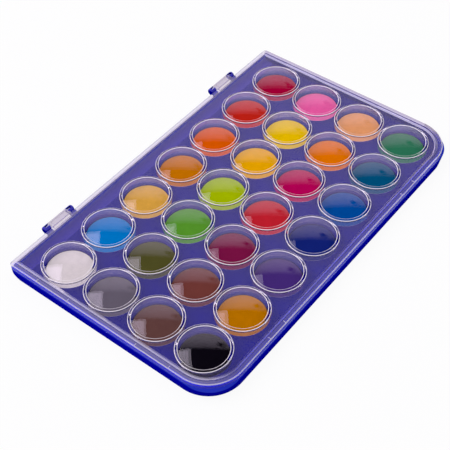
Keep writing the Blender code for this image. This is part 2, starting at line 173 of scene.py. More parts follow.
surroundings = wire(
    tree, "ShaderNodeMixShader", {0: in_lid, 1: ambient.outputs[0], 2: mirrored.outputs[0]}
)
shown = wire(
    tree,
    "ShaderNodeMixShader",
    {0: path.outputs["Is Camera Ray"], 1: surroundings.outputs[0], 2: white.outputs[0]},
)
wire(tree, "ShaderNodeOutputWorld", {"Surface": shown.outputs[0]})

bpy.ops.object.select_all(action="DESELECT")
bpy.ops.mesh.primitive_plane_add(size=6, location=(0, 0, -0.0001))
table = bpy.context.object
table.name = "white_table"
paper = bpy.data.materials.new("white_paper")
paper.use_nodes = True
tree = paper.node_tree
tree.nodes.clear()
matt = wire(tree, "ShaderNodeBsdfDiffuse", {"Color": (0.86, 0.86, 0.87, 1)})
glow = wire(tree, "ShaderNodeEmission", {"Color": (1, 1, 1, 1), "Strength": 1})
both = wire(
    tree,
    "ShaderNodeMixShader",
    {0: reckon(tree, seen_rays(tree), 0.92), 1: matt.outputs[0], 2: glow.outputs[0]},
)
wire(tree, "ShaderNodeOutputMaterial", {"Surface": both.outputs[0]})
table.data.materials.append(paper)
table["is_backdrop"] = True


def softbox(name, place, turn, width, height, radiance):
    """A flat rectangular lamp whose face is this many times as bright as white paper."""
    bpy.ops.object.light_add(type="AREA", location=place, rotation=[math.radians(t) for t in turn])
    lamp = bpy.context.object
    lamp.name = name
    lamp.data.shape = "RECTANGLE"
    lamp.data.size = width
    lamp.data.size_y = height
    lamp.data.energy = radiance * math.pi * width * height
    lamp.data.color = (1.0, 0.88, 1.1)


# The left softbox's near corner is what shows in the domes as a pale patch.
softbox("left_softbox", (-0.418, 0.935, 1.197), (48.42, -2.8, -137.78), 1.3, 1.3, 2.4)
softbox("right_softbox", (1.0, -0.8, 1.2), (-33, 39.8, 0), 0.6, 0.6, 3.6)


# ---------------------------------------------------------------- tray
# The blue tray is one injection moulding in polypropylene: a walled floor with 28 cups under
# it, a ledge and an upstand that the lid's rim shuts over, a floor swept up to the hinge rail
# at the rear, and four slotted ears for the lid's pins.

MM = 0.001
COLUMN_PITCH = 27.7 * MM
ROW_PITCH = 27.3 * MM
REAR_ROW_Y = 38.075 * MM
CELLS = [
    ((column - 3) * COLUMN_PITCH, REAR_ROW_Y - row * ROW_PITCH)
    for row in range(4)
    for column in range(7)
]
HALF_LENGTH = 101.35 * MM
FRONT_Y = -64.825 * MM
REAR_Y = 59.425 * MM
FRONT_RADIUS = 18.9 * MM
REAR_RADIUS = 1.8 * MM
LEAST_RADIUS = 0.4 * MM
AXIS_Y = 63.025 * MM
AXIS_Z = 6.4 * MM
FLOOR_Z = 3.3 * MM
LEDGE_Z = 5.8 * MM
UPSTAND_Z = 7.7 * MM
ROUND_STEPS = 64
WELD = 0.002 * MM


def only(piece):
    """Leaves this piece alone selected and active."""
    bpy.ops.object.select_all(action="DESELECT")
    piece.select_set(True)
    bpy.context.view_layer.objects.active = piece


def begin(name):
    """An empty mesh at the origin, open in edit mode."""
    bpy.ops.object.select_all(action="DESELECT")
    bpy.ops.mesh.primitive_plane_add()
    piece = bpy.context.object
    piece.name = piece.data.name = name
    bpy.ops.object.mode_set(mode="EDIT")
    bpy.ops.mesh.delete(type="VERT")
    return piece


def close(piece):
    """Welds the piece, turns its faces outwards and leaves edit mode."""
    bpy.ops.mesh.select_all(action="SELECT")
    bpy.ops.mesh.remove_doubles(threshold=WELD)
    bpy.ops.mesh.normals_make_consistent(inside=False)
    bpy.ops.object.mode_set(mode="OBJECT")
    return piece


def pick(piece, kind, wanted):
    """Selects, in edit mode, only the vertices, edges or faces that wanted() says yes to."""
    bpy.ops.mesh.select_mode(type=kind)
    bpy.ops.mesh.select_all(action="DESELECT")
    mesh = bmesh.from_edit_mesh(piece.data)
    elements = {"VERT": mesh.verts, "EDGE": mesh.edges, "FACE": mesh.faces}[kind]
    for element in [element for element in elements if wanted(element)]:
        element.select_set(True)
    if kind != "FACE":
        mesh.select_flush(True)
    bmesh.update_edit_mesh(piece.data)


def near(a, b):
    """Whether two coordinates are the same, but for rounding."""
    return abs(a - b) < 2 * WELD


def quarter(centre, radius, start, turn=90, steps=3):
    """Points of an arc about (across, up), from the start angle through turn degrees."""
    angles = [math.radians(start + turn * step / steps) for step in range(steps + 1)]
    return [(centre[0] + radius * math.cos(t), centre[1] + radius * math.sin(t)) for t in angles]


def outline(piece, inset, rear_inset, z, front_radius, rear_radius, filled):
    """Adds one rounded outline of the box at height z, as a face or as its bare edges."""
    half, front, rear = HALF_LENGTH - inset, FRONT_Y + inset, REAR_Y - rear_inset
    middle = (0, (front + rear) / 2, z)
    bpy.ops.mesh.select_mode(type="VERT")
    bpy.ops.mesh.primitive_plane_add(size=1, location=middle)
    bpy.ops.transform.resize(value=(2 * half, rear - front, 1), center_override=middle)
    for y, radius, steps in ((front, front_radius, 20), (rear, rear_radius, 6)):
        pick(
            piece,
            "VERT",
            lambda v: near(v.co.y, y) and near(v.co.z, z) and near(abs(v.co.x), half),
        )
        bpy.ops.mesh.bevel(offset=radius, segments=steps, affect="VERTICES")
    if not filled:
        pick(piece, "FACE", lambda f: len(f.verts) > 4 and near(f.calc_center_median().z, z))
        bpy.ops.mesh.delete(type="ONLY_FACE")


def walled_body(name, wall_plans, section):
    """A closed body whose section is given as (wall, offset inwards from it, height) points,
    and which bends round the box's corners. Each outline is bridged to the last one from
    well above it, where the two can't be taken crosswise, and then let down."""
    piece = begin(name)
    lift = 20 * MM
    for number, (wall, offset, z) in enumerate(section):
        inset, rear_inset, front_radius = wall_plans[wall]
        outline(
            piece,
            inset + offset,
            rear_inset + offset,
            z + lift if number else z,
            front_radius - offset,
            max(REAR_RADIUS - rear_inset - offset, LEAST_RADIUS),
            filled=number == 0,
        )
        if number:
            pick(piece, "EDGE", lambda e: len(e.link_faces) < 2)
            bpy.ops.mesh.bridge_edge_loops()
            pick(piece, "EDGE", lambda e: len(e.link_faces) < 2)
            bpy.ops.transform.translate(value=(0, 0, -lift))
    bpy.ops.mesh.edge_face_add()
    return close(piece)


def bend(wall, centre, radius, start, turn=90, steps=3):
    """The section's points round a small rounded edge beside a wall."""
    return [(wall, across, up) for across, up in quarter(centre, radius, start, turn, steps)]


def draw(points):
    """Draws a line from point to point by extruding one vertex."""
    bpy.ops.mesh.select_mode(type="VERT")
    bpy.ops.mesh.primitive_circle_add(vertices=3, radius=MM, location=points[0])
    bpy.ops.mesh.merge(type="CENTER")
    for start, end in zip(points, points[1:]):
        step = Vector(end) - Vector(start)
        bpy.ops.mesh.extrude_region_move(TRANSFORM_OT_translate={"value": step})


def prism(name, points, start_x, end_x):
    """A bar along X with this section of (y, z) points."""
    piece = begin(name)
    draw([(start_x, y, z) for y, z in points])
    bpy.ops.mesh.select_all(action="SELECT")
    bpy.ops.mesh.edge_face_add()
    bpy.ops.mesh.select_all(action="SELECT")
    bpy.ops.mesh.extrude_region_move(TRANSFORM_OT_translate={"value": (end_x - start_x, 0, 0)})
    return close(piece)


def spun(name, profile):
    """A form turned about Z from (radius, height) points."""
    piece = begin(name)
    draw([(radius, 0, z) for radius, z in profile])
    bpy.ops.mesh.select_all(action="SELECT")
    bpy.ops.mesh.spin(
        steps=ROUND_STEPS, angle=2 * math.pi, center=(0, 0, 0), axis=(0, 0, 1), use_auto_merge=True
    )
    return close(piece)


def boxed(name, low, high):
    """A block between two corners."""
    bpy.ops.object.select_all(action="DESELECT")
    middle = [(a + b) / 2 for a, b in zip(low, high)]
    bpy.ops.mesh.primitive_cube_add(size=1, location=middle)
    piece = bpy.context.object
    piece.name = piece.data.name = name
    piece.scale = [b - a for a, b in zip(low, high)]
    bpy.ops.object.transform_apply(location=True, rotation=True, scale=True)
    return piece


def joined(pieces, name):
    """One object made of these pieces."""
    only(pieces[0])
    for piece in pieces:
        piece.select_set(True)
    if len(pieces) > 1:
        bpy.ops.object.join()
    pieces[0].name = pieces[0].data.name = name
    return pieces[0]


def carve(piece, other, operation):
    """Cuts the other piece out of this one, or melts it onto it, and applies the result."""
    only(piece)
    modifier = piece.modifiers.new("carve", "BOOLEAN")
    modifier.object = other
    modifier.operation = operation
    modifier.solver = "EXACT"
    bpy.ops.object.modifier_apply(modifier=modifier.name)
    bpy.data.objects.remove(other)
    bpy.ops.object.mode_set(mode="EDIT")
    bpy.ops.mesh.select_all(action="SELECT")
    bpy.ops.mesh.remove_doubles(threshold=WELD)
    bpy.ops.object.mode_set(mode="OBJECT")


def in_every_cell(shell):
    """This shell copied to each of the 28 cells, as one object."""
    copies = []
    for x, y in CELLS:
        only(shell)
        bpy.ops.object.duplicate()
        copy = bpy.context.object
        copy.location = (x, y, 0)
        bpy.ops.object.transform_apply(location=True, rotation=False, scale=False)
        copies.append(copy)
    bpy.data.objects.remove(shell)
    return joined(copies, "cells")


def let_in(piece, cells, z):
    """Opens the wide flat face at height z, and closes it again round the rims of the cells."""
    least_area = 1000 * MM**2

    def wide_and_flat(face):
        level = abs(face.normal.z) > 0.999 and near(face.calc_center_median().z, z)
        return level and face.calc_area() > least_area

    only(piece)
    bpy.ops.object.mode_set(mode="EDIT")
    pick(piece, "FACE", wide_and_flat)
    bpy.ops.mesh.delete(type="FACE")
    bpy.ops.object.mode_set(mode="OBJECT")
    joined([piece, cells], piece.name)
    bpy.ops.object.mode_set(mode="EDIT")
    pick(
        piece,
        "EDGE",
        lambda e: len(e.link_faces) == 1 and all(near(v.co.z, z) for v in e.verts),
    )
    bpy.ops.mesh.fill(use_beauty=True)
    bpy.ops.object.mode_set(mode="OBJECT")


def polish(piece, flat_heights):
    """Smooths the rounded faces, and keeps the flat ones at these heights flat."""

    def kept_flat(face):
        z = face.calc_center_median().z
        return abs(face.normal.z) > 0.9999 and any(near(z, flat_z) for flat_z in flat_heights)

    only(piece)
    bpy.ops.object.mode_set(mode="EDIT")
    close(piece)
    bpy.ops.object.shade_smooth_by_angle(angle=math.radians(32))
    bpy.ops.object.mode_set(mode="EDIT")
    pick(piece, "FACE", kept_flat)
    bpy.ops.mesh.faces_shade_flat()
    bpy.ops.object.mode_set(mode="OBJECT")
    for modifier in list(piece.modifiers):
        bpy.ops.object.modifier_apply(modifier=modifier.name)


# The tray's walls: how far each stands inside the box's outline, how far it does so along the
# rear, and the radius of its front corners. The section goes round them from foot to floor.
UNDER_Z = 2.1 * MM
tray_walls = {
    "foot_in": (1.6 * MM, 1.3 * MM, 17.0 * MM),
    "foot": (0.3 * MM, 0.0, 18.3 * MM),
    "brim": (0.0, 0.0, 15.2 * MM),
    "upstand": (1.35 * MM, 1.2 * MM, 17.55 * MM),
    "inside": (2.2 * MM, 2.0 * MM, 16.7 * MM),
}
EDGE = 0.3 * MM
tray_section = (
    bend("foot_in", (EDGE, UNDER_Z - EDGE), EDGE, 90, 90)
    + bend("foot_in", (-EDGE, EDGE), EDGE, 0, -90)
    + bend("foot", (EDGE, EDGE), EDGE, -90, -90)
    + bend("brim", (EDGE, LEDGE_Z - EDGE), EDGE, 180, -90)
    + bend("upstand", (-EDGE / 2, LEDGE_Z + EDGE / 2), EDGE / 2, -90, 90)
    + bend("upstand", (EDGE, UPSTAND_Z - EDGE), EDGE, 180, -90)
    + bend("inside", (-EDGE, UPSTAND_Z - EDGE), EDGE, 90, -90)
    + bend("inside", (EDGE, FLOOR_Z + EDGE), EDGE, 180, 90)
)
tray = walled_body("tray_moulding", tray_walls, tray_section)

# The floor bends up to the rail along its whole rear edge, hollow underneath.
SWEEP = 7.0 * MM
SHELL = 1.2 * MM
HOLLOW_HALF = 99.25 * MM
COVE_HALF = 99.6 * MM
sweep_y = REAR_Y - 7.5 * MM
sweep_z = FLOOR_Z + SWEEP
rail_z = LEDGE_Z - SHELL
beyond = 1.0 * MM  # how far a cutting shape reaches past what it cuts
rail_turn = math.degrees(math.asin((rail_z - sweep_z) / (SWEEP + SHELL)))
hollow = quarter((sweep_y, sweep_z), SWEEP + SHELL, -90, rail_turn + 90, 12)
hollow += [(REAR_Y + beyond, rail_z), (REAR_Y + beyond, -beyond), (sweep_y, -beyond)]
carve(tray, prism("hollow", hollow, -HOLLOW_HALF, HOLLOW_HALF), "DIFFERENCE")

# The upper side of the bend meets the upstand's inner face, and is laid over the hollow.
face_y = REAR_Y - 2.0 * MM
face_turn = -math.degrees(math.acos((face_y - sweep_y) / SWEEP))
cove = quarter((sweep_y, sweep_z), SWEEP, -90, face_turn + 90, 12)
core_radius = SWEEP + SHELL / 2
core_turn = math.degrees(math.asin((cove[-1][1] - sweep_z) / core_radius))
slab = cove + [(face_y + 0.4 * MM, cove[-1][1])]
slab += quarter((sweep_y, sweep_z), core_radius, core_turn, -90 - core_turn, 12)[:-1]
slab += [(sweep_y, FLOOR_Z - SHELL / 2)]
carve(tray, prism("cove", slab, -COVE_HALF, COVE_HALF), "UNION")

# Under the rail, the foot's rear edge is rounded away.
HEEL = 7.0 * MM
heel = quarter((REAR_Y - HEEL, HEEL), HEEL, -90, 90, 14)
heel = [point for point in heel if point[1] < LEDGE_Z - EDGE]
heel += [(REAR_Y + beyond, heel[-1][1]), (REAR_Y + beyond, -beyond), (heel[0][0], -beyond)]
carve(tray, prism("heel", heel, -HALF_LENGTH - beyond, HALF_LENGTH + beyond), "DIFFERENCE")

# Six shallow notches in the upstand take the lid's snap blocks.
FIT = 0.3 * MM
NOTCH_DEPTH = 0.7 * MM
SNAP_FROM = 1.05 * MM
SNAP_TO = 2.5 * MM
FRONT_SNAP = 5.65 * MM
SIDE_SNAP = 9.75 * MM
SNAPS = [
    ((x - FRONT_SNAP, FRONT_Y + SNAP_FROM), (x + FRONT_SNAP, FRONT_Y + SNAP_TO))
    for x in (-2 * COLUMN_PITCH, 2 * COLUMN_PITCH)
]
for side in (-1, 1):
    for rows_down in (0.2, 2.42):
        y = REAR_ROW_Y - rows_down * ROW_PITCH
        across = sorted((side * (HALF_LENGTH - SNAP_FROM), side * (HALF_LENGTH - SNAP_TO)))
        SNAPS.append(((across[0], y - SIDE_SNAP), (across[1], y + SIDE_SNAP)))
notches = [
    boxed(
        "notch",
        (*[c - FIT for c in low], UPSTAND_Z - NOTCH_DEPTH),
        (*[c + FIT for c in high], UPSTAND_Z + beyond),
    )
    for low, high in SNAPS
]
carve(tray, joined(notches, "notches"), "DIFFERENCE")

# Each hinge has an ear at both ends of the lid's barrel, on an arm from the rail.
HINGES = (-65.0 * MM, 65.0 * MM)
BARREL = 1.8 * MM
PIN = 0.9 * MM
PIN_LENGTH = 2.5 * MM
EAR_LENGTH = 3.7 * MM
HALF_BARREL = 6.05 * MM


def bar(name, radius, start_x, end_x, sides=40):
    """A round bar along the hinge line."""
    bpy.ops.object.select_all(action="DESELECT")
    bpy.ops.mesh.primitive_cylinder_add(
        vertices=sides,
        radius=radius,
        depth=abs(end_x - start_x),
        location=((start_x + end_x) / 2, AXIS_Y, AXIS_Z),
        rotation=(0, math.pi / 2, 0),
    )
    piece = bpy.context.object
    piece.name = piece.data.name = name
    bpy.ops.object.transform_apply(location=True, rotation=True, scale=True)
    return piece


def ease_end(piece, x, size, steps=5):
    """Rounds the edge at one end of a bar."""
    only(piece)
    bpy.ops.object.mode_set(mode="EDIT")
    pick(piece, "EDGE", lambda e: all(near(v.co.x, x) for v in e.verts))
    bpy.ops.mesh.bevel(offset=size, segments=steps)
    bpy.ops.object.mode_set(mode="OBJECT")


for hinge_x in HINGES:
    for side in (-1, 1):
        start = hinge_x + side * (HALF_BARREL + FIT)
        end = start + side * EAR_LENGTH
        low, high = sorted((start, end))
        ear = bar("ear", BARREL, start, end)
        ease_end(ear, end, 0.8 * MM)
        ease_end(ear, start, 0.15 * MM, 2)
        arm = boxed(
            "arm",
            (low, REAR_Y - 0.9 * MM, AXIS_Z - BARREL + 0.15 * MM),
            (high, AXIS_Y, LEDGE_Z - 0.2 * MM),
        )
        carve(ear, arm, "UNION")
        carve(tray, ear, "UNION")
        # The pin's seat is open upwards, through a mouth that is narrower than the pin.
        seat_low, seat_high = sorted((start - side * beyond, start + side * PIN_LENGTH))
        seat = bar("seat", PIN + FIT, seat_low, seat_high, 24)
        mouth = boxed(
            "mouth",
            (seat_low, AXIS_Y - 0.7 * MM, AXIS_Z),
            (seat_high, AXIS_Y + 0.7 * MM, AXIS_Z + 2.8 * MM),
        )
        carve(seat, mouth, "UNION")
        carve(tray, seat, "DIFFERENCE")

# Every cup is a round pocket in the floor with its own bottom on the table.
POCKET = 11.6 * MM
POCKET_Z = 0.9 * MM
POCKET_LIP = 0.25 * MM
CUP = 12.6 * MM
CUP_LIP = 0.3 * MM
FILLET = 0.4 * MM
pocket_top = quarter((POCKET + POCKET_LIP, FLOOR_Z - POCKET_LIP), POCKET_LIP, 90, 90)
pocket_foot = quarter((POCKET - FILLET, POCKET_Z + FILLET), FILLET, 0, -90)
let_in(tray, in_every_cell(spun("pocket", pocket_top + pocket_foot + [(0, POCKET_Z)])), FLOOR_Z)
cup_top = quarter((CUP + CUP_LIP, UNDER_Z - CUP_LIP), CUP_LIP, 90, 90)
cup_foot = quarter((CUP - FILLET, FILLET), FILLET, 0, -90)
let_in(tray, in_every_cell(spun("cup", cup_top + cup_foot + [(0, 0)])), UNDER_Z)
polish(tray, (FLOOR_Z, UNDER_Z, LEDGE_Z, POCKET_Z, 0))


def surface(name):
    """A new material's node tree, with its Principled shader and the piece's own coordinates."""
    material = bpy.data.materials.new(name)
    material.use_nodes = True
    tree = material.node_tree
    shader = tree.nodes["Principled BSDF"]
    place = wire(tree, "ShaderNodeTexCoord").outputs["Object"]
    return material, tree, shader, place


blue, tree, shader, place = surface("blue_polypropylene")
mottle = wire(tree, "ShaderNodeTexNoise", {"Vector": place, "Scale": 90, "Detail": 3})
shade = wire(
    tree,
    "ShaderNodeMix",
    {"Factor": mottle.outputs[0], 6: (0.0, 0.0, 0.22, 1), 7: (0.0, 0.0, 0.27, 1)},
    data_type="RGBA",
)
tree.links.new(shade.outputs[2], shader.inputs["Base Color"])
grain = wire(tree, "ShaderNodeTexNoise", {"Vector": place, "Scale": 1800, "Detail": 2})
relief = wire(
    tree, "ShaderNodeBump", {"Height": grain.outputs[0], "Strength": 0.06, "Distance": 0.0002}
)
tree.links.new(relief.outputs[0], shader.inputs["Normal"])
shader.inputs["Roughness"].default_value = 0.34
shader.inputs["IOR"].default_value = 1.49
shader.inputs["Specular IOR Level"].default_value = 0.0
tray.data.materials.clear()
tray.data.materials.append(blue)


CORNER_WALL = 18 * MM  # where the outer wall begins, from the middle of a front corner's arc
# Brighter copies of the blue, with painted light on the outer walls, the ledge, the upstand and the
# rear sweep, and a painted highlight on the tops of the ears.
PAINTED_LIGHT_BLUES = {
    "wall": (0.001, 0.001, 0.34),
    "upstand": (0.0, 0.0, 0.98),
    "sweep": (0.04, 0.03, 0.38),
    "ear": (0.06, 0.055, 0.42),
    "ledge": (0.018, 0.034, 0.44),
}


def painted_light_blue(name, colour):
    """The same blue plastic made brighter, with the light that falls on this part painted into its
    colour.
    """
    material, _, shader, _ = surface(name)
    shader.inputs["Base Color"].default_value = (*colour, 1)
    shader.inputs["Roughness"].default_value = 0.34
    shader.inputs["Specular IOR Level"].default_value = 0.0
    return material


def painted_light_part(face):
    """The part of the tray that this face is on, if painted light brightens its blue there."""
    x, y, z = face.calc_center_median()
    if y > REAR_Y:
        return "ear" if face.normal.z > 0.35 else None
    if LEDGE_Z - EDGE + WELD < z < LEDGE_Z + 2 * WELD and face.normal.z > 0.1:
        return "ledge"
    if LEDGE_Z + WELD < z < UPSTAND_Z + WELD:
        return "upstand" if abs(face.normal.z) < 0.5 else None
    if y > sweep_y and FLOOR_Z < z < UPSTAND_Z and face.normal.z > 0:
        return "sweep"
    beside_wall = abs(x) > HALF_LENGTH - MM or y < FRONT_Y + MM
    round_corner = (abs(x) - HALF_LENGTH + FRONT_RADIUS, FRONT_Y + FRONT_RADIUS - y)
    in_corner = min(round_corner) > 0 and math.hypot(*round_corner) > CORNER_WALL
    return "wall" if WELD < z < LEDGE_Z and (beside_wall or in_corner) else None


def give_materials(piece, names, name_of):
    """Gives faces their materials: name_of() names one of those after the piece's first."""
    only(piece)
    bpy.ops.object.mode_set(mode="EDIT")
    for number, name in enumerate(names, 1):
        pick(piece, "FACE", lambda face: name_of(face) == name)
        piece.active_material_index = number
        bpy.ops.object.material_slot_assign()
    bpy.ops.object.mode_set(mode="OBJECT")


for part, colour in PAINTED_LIGHT_BLUES.items():
    tray.data.materials.append(painted_light_blue(f"painted_light_blue_{part}", colour))
give_materials(tray, PAINTED_LIGHT_BLUES, painted_light_part)
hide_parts("base_tray")
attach(tray, "tray")


# ---------------------------------------------------------------- paint cakes
# Each cake is a flat tablet of pressed pigment and gum, 22.6 mm across, with an eased rim
# and a slightly uneven, matt, grainy face. It is laid loose in its cup.

PAINTS = {
    "white": (0.820, 0.754, 0.710),
    "sky_blue": (0.000, 0.218, 0.598),
    "naples_yellow": (0.796, 0.426, 0.060),
    "golden_brown": (0.636, 0.196, 0.000),
    "orange": (0.816, 0.118, 0.000),
    "vermilion": (0.616, 0.020, 0.009),
    "crimson": (0.426, 0.000, 0.038),
    "grey": (0.148, 0.129, 0.159),
    "olive": (0.089, 0.088, 0.019),
    "green": (0.108, 0.358, 0.027),
    "lime": (0.426, 0.568, 0.000),
    "amber": (0.950, 0.460, 0.000),
    "yellow": (0.950, 0.612, 0.000),
    "pink": (0.950, 0.128, 0.386),
    "dark_brown": (0.136, 0.061, 0.050),
    "red_brown": (0.187, 0.050, 0.038),
    "burgundy": (0.217, 0.008, 0.059),
    "scarlet": (0.616, 0.018, 0.030),
    "magenta": (0.536, 0.001, 0.097),
    "light_orange": (0.886, 0.207, 0.000),
    "peach": (0.920, 0.396, 0.157),
    "black": (0.004, 0.003, 0.006),
    "ochre": (0.554, 0.199, 0.000),
    "purple": (0.068, 0.028, 0.195),
    "navy": (0.007, 0.019, 0.186),
    "blue": (0.000, 0.080, 0.344),
    "teal": (0.000, 0.096, 0.206),
    "emerald": (0.030, 0.208, 0.098),
}
CAKE = 11.3 * MM
CAKE_Z = 1.2 * MM
CAKE_TOP = 3.25 * MM
CAKE_RIM = 0.45 * MM
CAKE_FOOT = 0.2 * MM
face_rings = (0, 0.12, 0.25, 0.38, 0.5, 0.62, 0.74, 0.85, 0.93)
cake_profile = [(share * CAKE, CAKE_TOP) for share in face_rings]
cake_profile += quarter((CAKE - CAKE_RIM, CAKE_TOP - CAKE_RIM), CAKE_RIM, 90, -90, 4)
cake_profile += quarter((CAKE - CAKE_FOOT, CAKE_Z + CAKE_FOOT), CAKE_FOOT, 0, -90, 2)
cake_profile += [(0, CAKE_Z)]
blank = spun("blank_cake", cake_profile)
pressing = bpy.data.textures.new("pressing", "CLOUDS")
pressing.noise_scale = 3.5 * MM


def pressed_paint(name, colour):
    """Matt pigment with a fine grain and a faint mottle in its colour."""
    material, tree, shader, place = surface(f"pressed_{name}")
    mottle = wire(tree, "ShaderNodeTexNoise", {"Vector": place, "Scale": 420, "Detail": 5})
    dark, light = [(*[c * share for c in colour], 1) for share in (0.88, 1.12)]
    shade = wire(
        tree, "ShaderNodeMix", {"Factor": mottle.outputs[0], 6: dark, 7: light}, data_type="RGBA"
    )
    tree.links.new(shade.outputs[2], shader.inputs["Base Color"])
    grain = wire(tree, "ShaderNodeTexNoise", {"Vector": place, "Scale": 2600, "Detail": 3})
    relief = wire(
        tree, "ShaderNodeBump", {"Height": grain.outputs[0], "Strength": 0.25, "Distance": 0.0002}
    )
    tree.links.new(relief.outputs[0], shader.inputs["Normal"])
    shader.inputs["Roughness"].default_value = 0.85
    shader.inputs["Specular IOR Level"].default_value = 0.0
    return material


for (name, colour), (x, y) in zip(PAINTS.items(), CELLS):
    only(blank)
    bpy.ops.object.duplicate()
    cake = bpy.context.object
    cake.name = cake.data.name = f"{name}_cake"
    cake.location = (x, y, 0)
    bpy.ops.object.transform_apply(location=True, rotation=False, scale=False)
    uneven = cake.modifiers.new("uneven", "DISPLACE")
    uneven.texture = pressing
    uneven.texture_coords = "GLOBAL"
    uneven.strength = 0.08 * MM
    uneven.mid_level = 0.5
    bpy.ops.object.modifier_apply(modifier=uneven.name)
    bpy.ops.object.shade_smooth_by_angle(angle=math.radians(40))
    cake.data.materials.clear()
    cake.data.materials.append(pressed_paint(name, colour))
    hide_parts(f"paint_cake_{name}")
    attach(cake, "tray")
bpy.data.objects.remove(blank)


# ---------------------------------------------------------------- lid
# The lid is one moulding in clear polystyrene, about 1.1 mm thick: a flat plate in a raised
# rim whose channel takes the tray's upstand, and over every cake a dome on a bevelled step
# with a ring skirt that hangs round the cup.

# Its walls are given as the tray's are. The section goes from the plate's underside round the
# rib, the channel, the hanging skirt and the brim, and over the rim down to the plate.
PLATE_Z = 8.5 * MM
PLATE_UNDER = 7.4 * MM
RIM_Z = 9.2 * MM
CHANNEL_Z = 8.1 * MM
SKIRT_Z = 6.1 * MM
lid_walls = {
    "outer": (0.0, 0.0, FRONT_RADIUS),
    "skirt": (1.05 * MM, 0.9 * MM, 17.85 * MM),
    "groove": (2.0 * MM, 1.2 * MM, 16.9 * MM),
    "groove_in": (2.3 * MM, 1.45 * MM, 16.6 * MM),
    "rib": (2.5 * MM, 2.3 * MM, 16.4 * MM),
    "rib_in": (3.55 * MM, 3.1 * MM, 15.35 * MM),
    "step": (3.55 * MM, 2.3 * MM, 15.35 * MM),
}
ROUND = 0.2 * MM
lid_section = (
    [("rib_in", 0.0, PLATE_UNDER)]
    + bend("rib_in", (-ROUND, SKIRT_Z + ROUND), ROUND, 0, -90)
    + bend("rib", (ROUND, SKIRT_Z + ROUND), ROUND, -90, -90)
    + bend("rib", (-ROUND, CHANNEL_Z - ROUND), ROUND, 0, 90)
    + bend("skirt", (ROUND, CHANNEL_Z - ROUND), ROUND, 90, 90)
    + bend("skirt", (-ROUND, SKIRT_Z + ROUND), ROUND, 0, -90)
    + bend("outer", (ROUND, SKIRT_Z + ROUND), ROUND, -90, -90)
    + bend("outer", (2 * ROUND, RIM_Z - 2 * ROUND), 2 * ROUND, 180, -90, 5)
    + [("groove", 0.0, RIM_Z), ("groove_in", 0.0, RIM_Z)]
    + [("step", -0.35 * MM, RIM_Z), ("step", -0.15 * MM, RIM_Z - 0.08 * MM)]
    + [("step", 0.45 * MM, PLATE_Z + 0.12 * MM), ("step", 0.7 * MM, PLATE_Z)]
)
lid = walled_body("lid_moulding", lid_walls, lid_section)

# Snap blocks fill the top of the channel over the tray's notches.
blocks = []
for low, high in SNAPS:
    along_x = high[0] - low[0] > high[1] - low[1]
    sunk = (0, 0.5 * MM) if along_x else (0.5 * MM, 0)  # into the channel's walls
    blocks.append(
        boxed(
            "block",
            (low[0] - sunk[0], low[1] - sunk[1], CHANNEL_Z - NOTCH_DEPTH),
            (high[0] + sunk[0], high[1] + sunk[1], CHANNEL_Z + 0.55 * MM),
        )
    )
carve(lid, joined(blocks, "blocks"), "UNION")

# The lid's half of each hinge is a tab to a barrel, with a stub pin at both ends.
for hinge_x in HINGES:
    barrel = bar("barrel", BARREL, hinge_x - HALF_BARREL, hinge_x + HALF_BARREL)
    top_z = AXIS_Z + BARREL + 0.1 * MM
    tab = boxed(
        "tab",
        (hinge_x - HALF_BARREL, REAR_Y - 0.45 * MM, top_z - 1.7 * MM),
        (hinge_x + HALF_BARREL, AXIS_Y, top_z),
    )
    carve(barrel, tab, "UNION")
    reach = HALF_BARREL + PIN_LENGTH
    pins = bar("pins", PIN, hinge_x - reach, hinge_x + reach, 24)
    ease_end(pins, hinge_x - reach, 0.3 * MM, 3)
    ease_end(pins, hinge_x + reach, 0.3 * MM, 3)
    carve(barrel, pins, "UNION")
    recess = boxed(
        "recess",
        (hinge_x - HALF_BARREL + 1.2 * MM, REAR_Y + 0.6 * MM, top_z - 0.3 * MM),
        (hinge_x + HALF_BARREL - 1.2 * MM, AXIS_Y, top_z + beyond),
    )
    carve(barrel, recess, "DIFFERENCE")
    carve(lid, barrel, "UNION")


def cap(edge_radius, edge_z, rise, steps=12):
    """Points (radius, height) of a spherical cap, from its edge to its top."""
    ball = (edge_radius**2 + rise**2) / (2 * rise)
    widest = math.asin(edge_radius / ball)
    turns = [widest * (1 - step / steps) for step in range(steps + 1)]
    return [(ball * math.sin(t), edge_z + rise - ball + ball * math.cos(t)) for t in turns]


# Outside, each dome stands inside a raised step with two bevelled edges.
STEP_Z = 8.97 * MM
DOME = 11.65 * MM
DOME_Z = STEP_Z - 0.17 * MM
outer_edge = [(13.2 * MM, PLATE_Z), (12.93 * MM, PLATE_Z + 0.23 * MM)]
inner_edge = [(11.95 * MM, STEP_Z + 0.03 * MM), (DOME, DOME_Z)]
top = outer_edge + inner_edge + cap(DOME, DOME_Z, 1.87 * MM)[1:]
let_in(lid, in_every_cell(spun("dome", top)), PLATE_Z)

# Inside, the ring skirt hangs from the plate, and a shallower dome rises within it.
RING = 13.15 * MM
RING_WALL = 0.8 * MM
RING_Z = 4.2 * MM
UNDER_DOME_Z = STEP_Z - 1.1 * MM
under = quarter((RING + ROUND, PLATE_UNDER - ROUND), ROUND, 90, 90)
under += quarter((RING - RING_WALL / 2, RING_Z + RING_WALL / 2), RING_WALL / 2, 0, -180, 8)
under += [(RING - RING_WALL, 7.5 * MM), (11.85 * MM, UNDER_DOME_Z)]
under += cap(11.75 * MM, UNDER_DOME_Z, 1.7 * MM)
let_in(lid, in_every_cell(spun("ring", under)), PLATE_UNDER)
polish(lid, (PLATE_Z, PLATE_UNDER))


# Where the painted light in a skin differs at the lid's ends, it fades into the middle's over 13
# mm.
FADE_HALF = 99 * MM
FADE_STOPS = (0.066, 0.934)


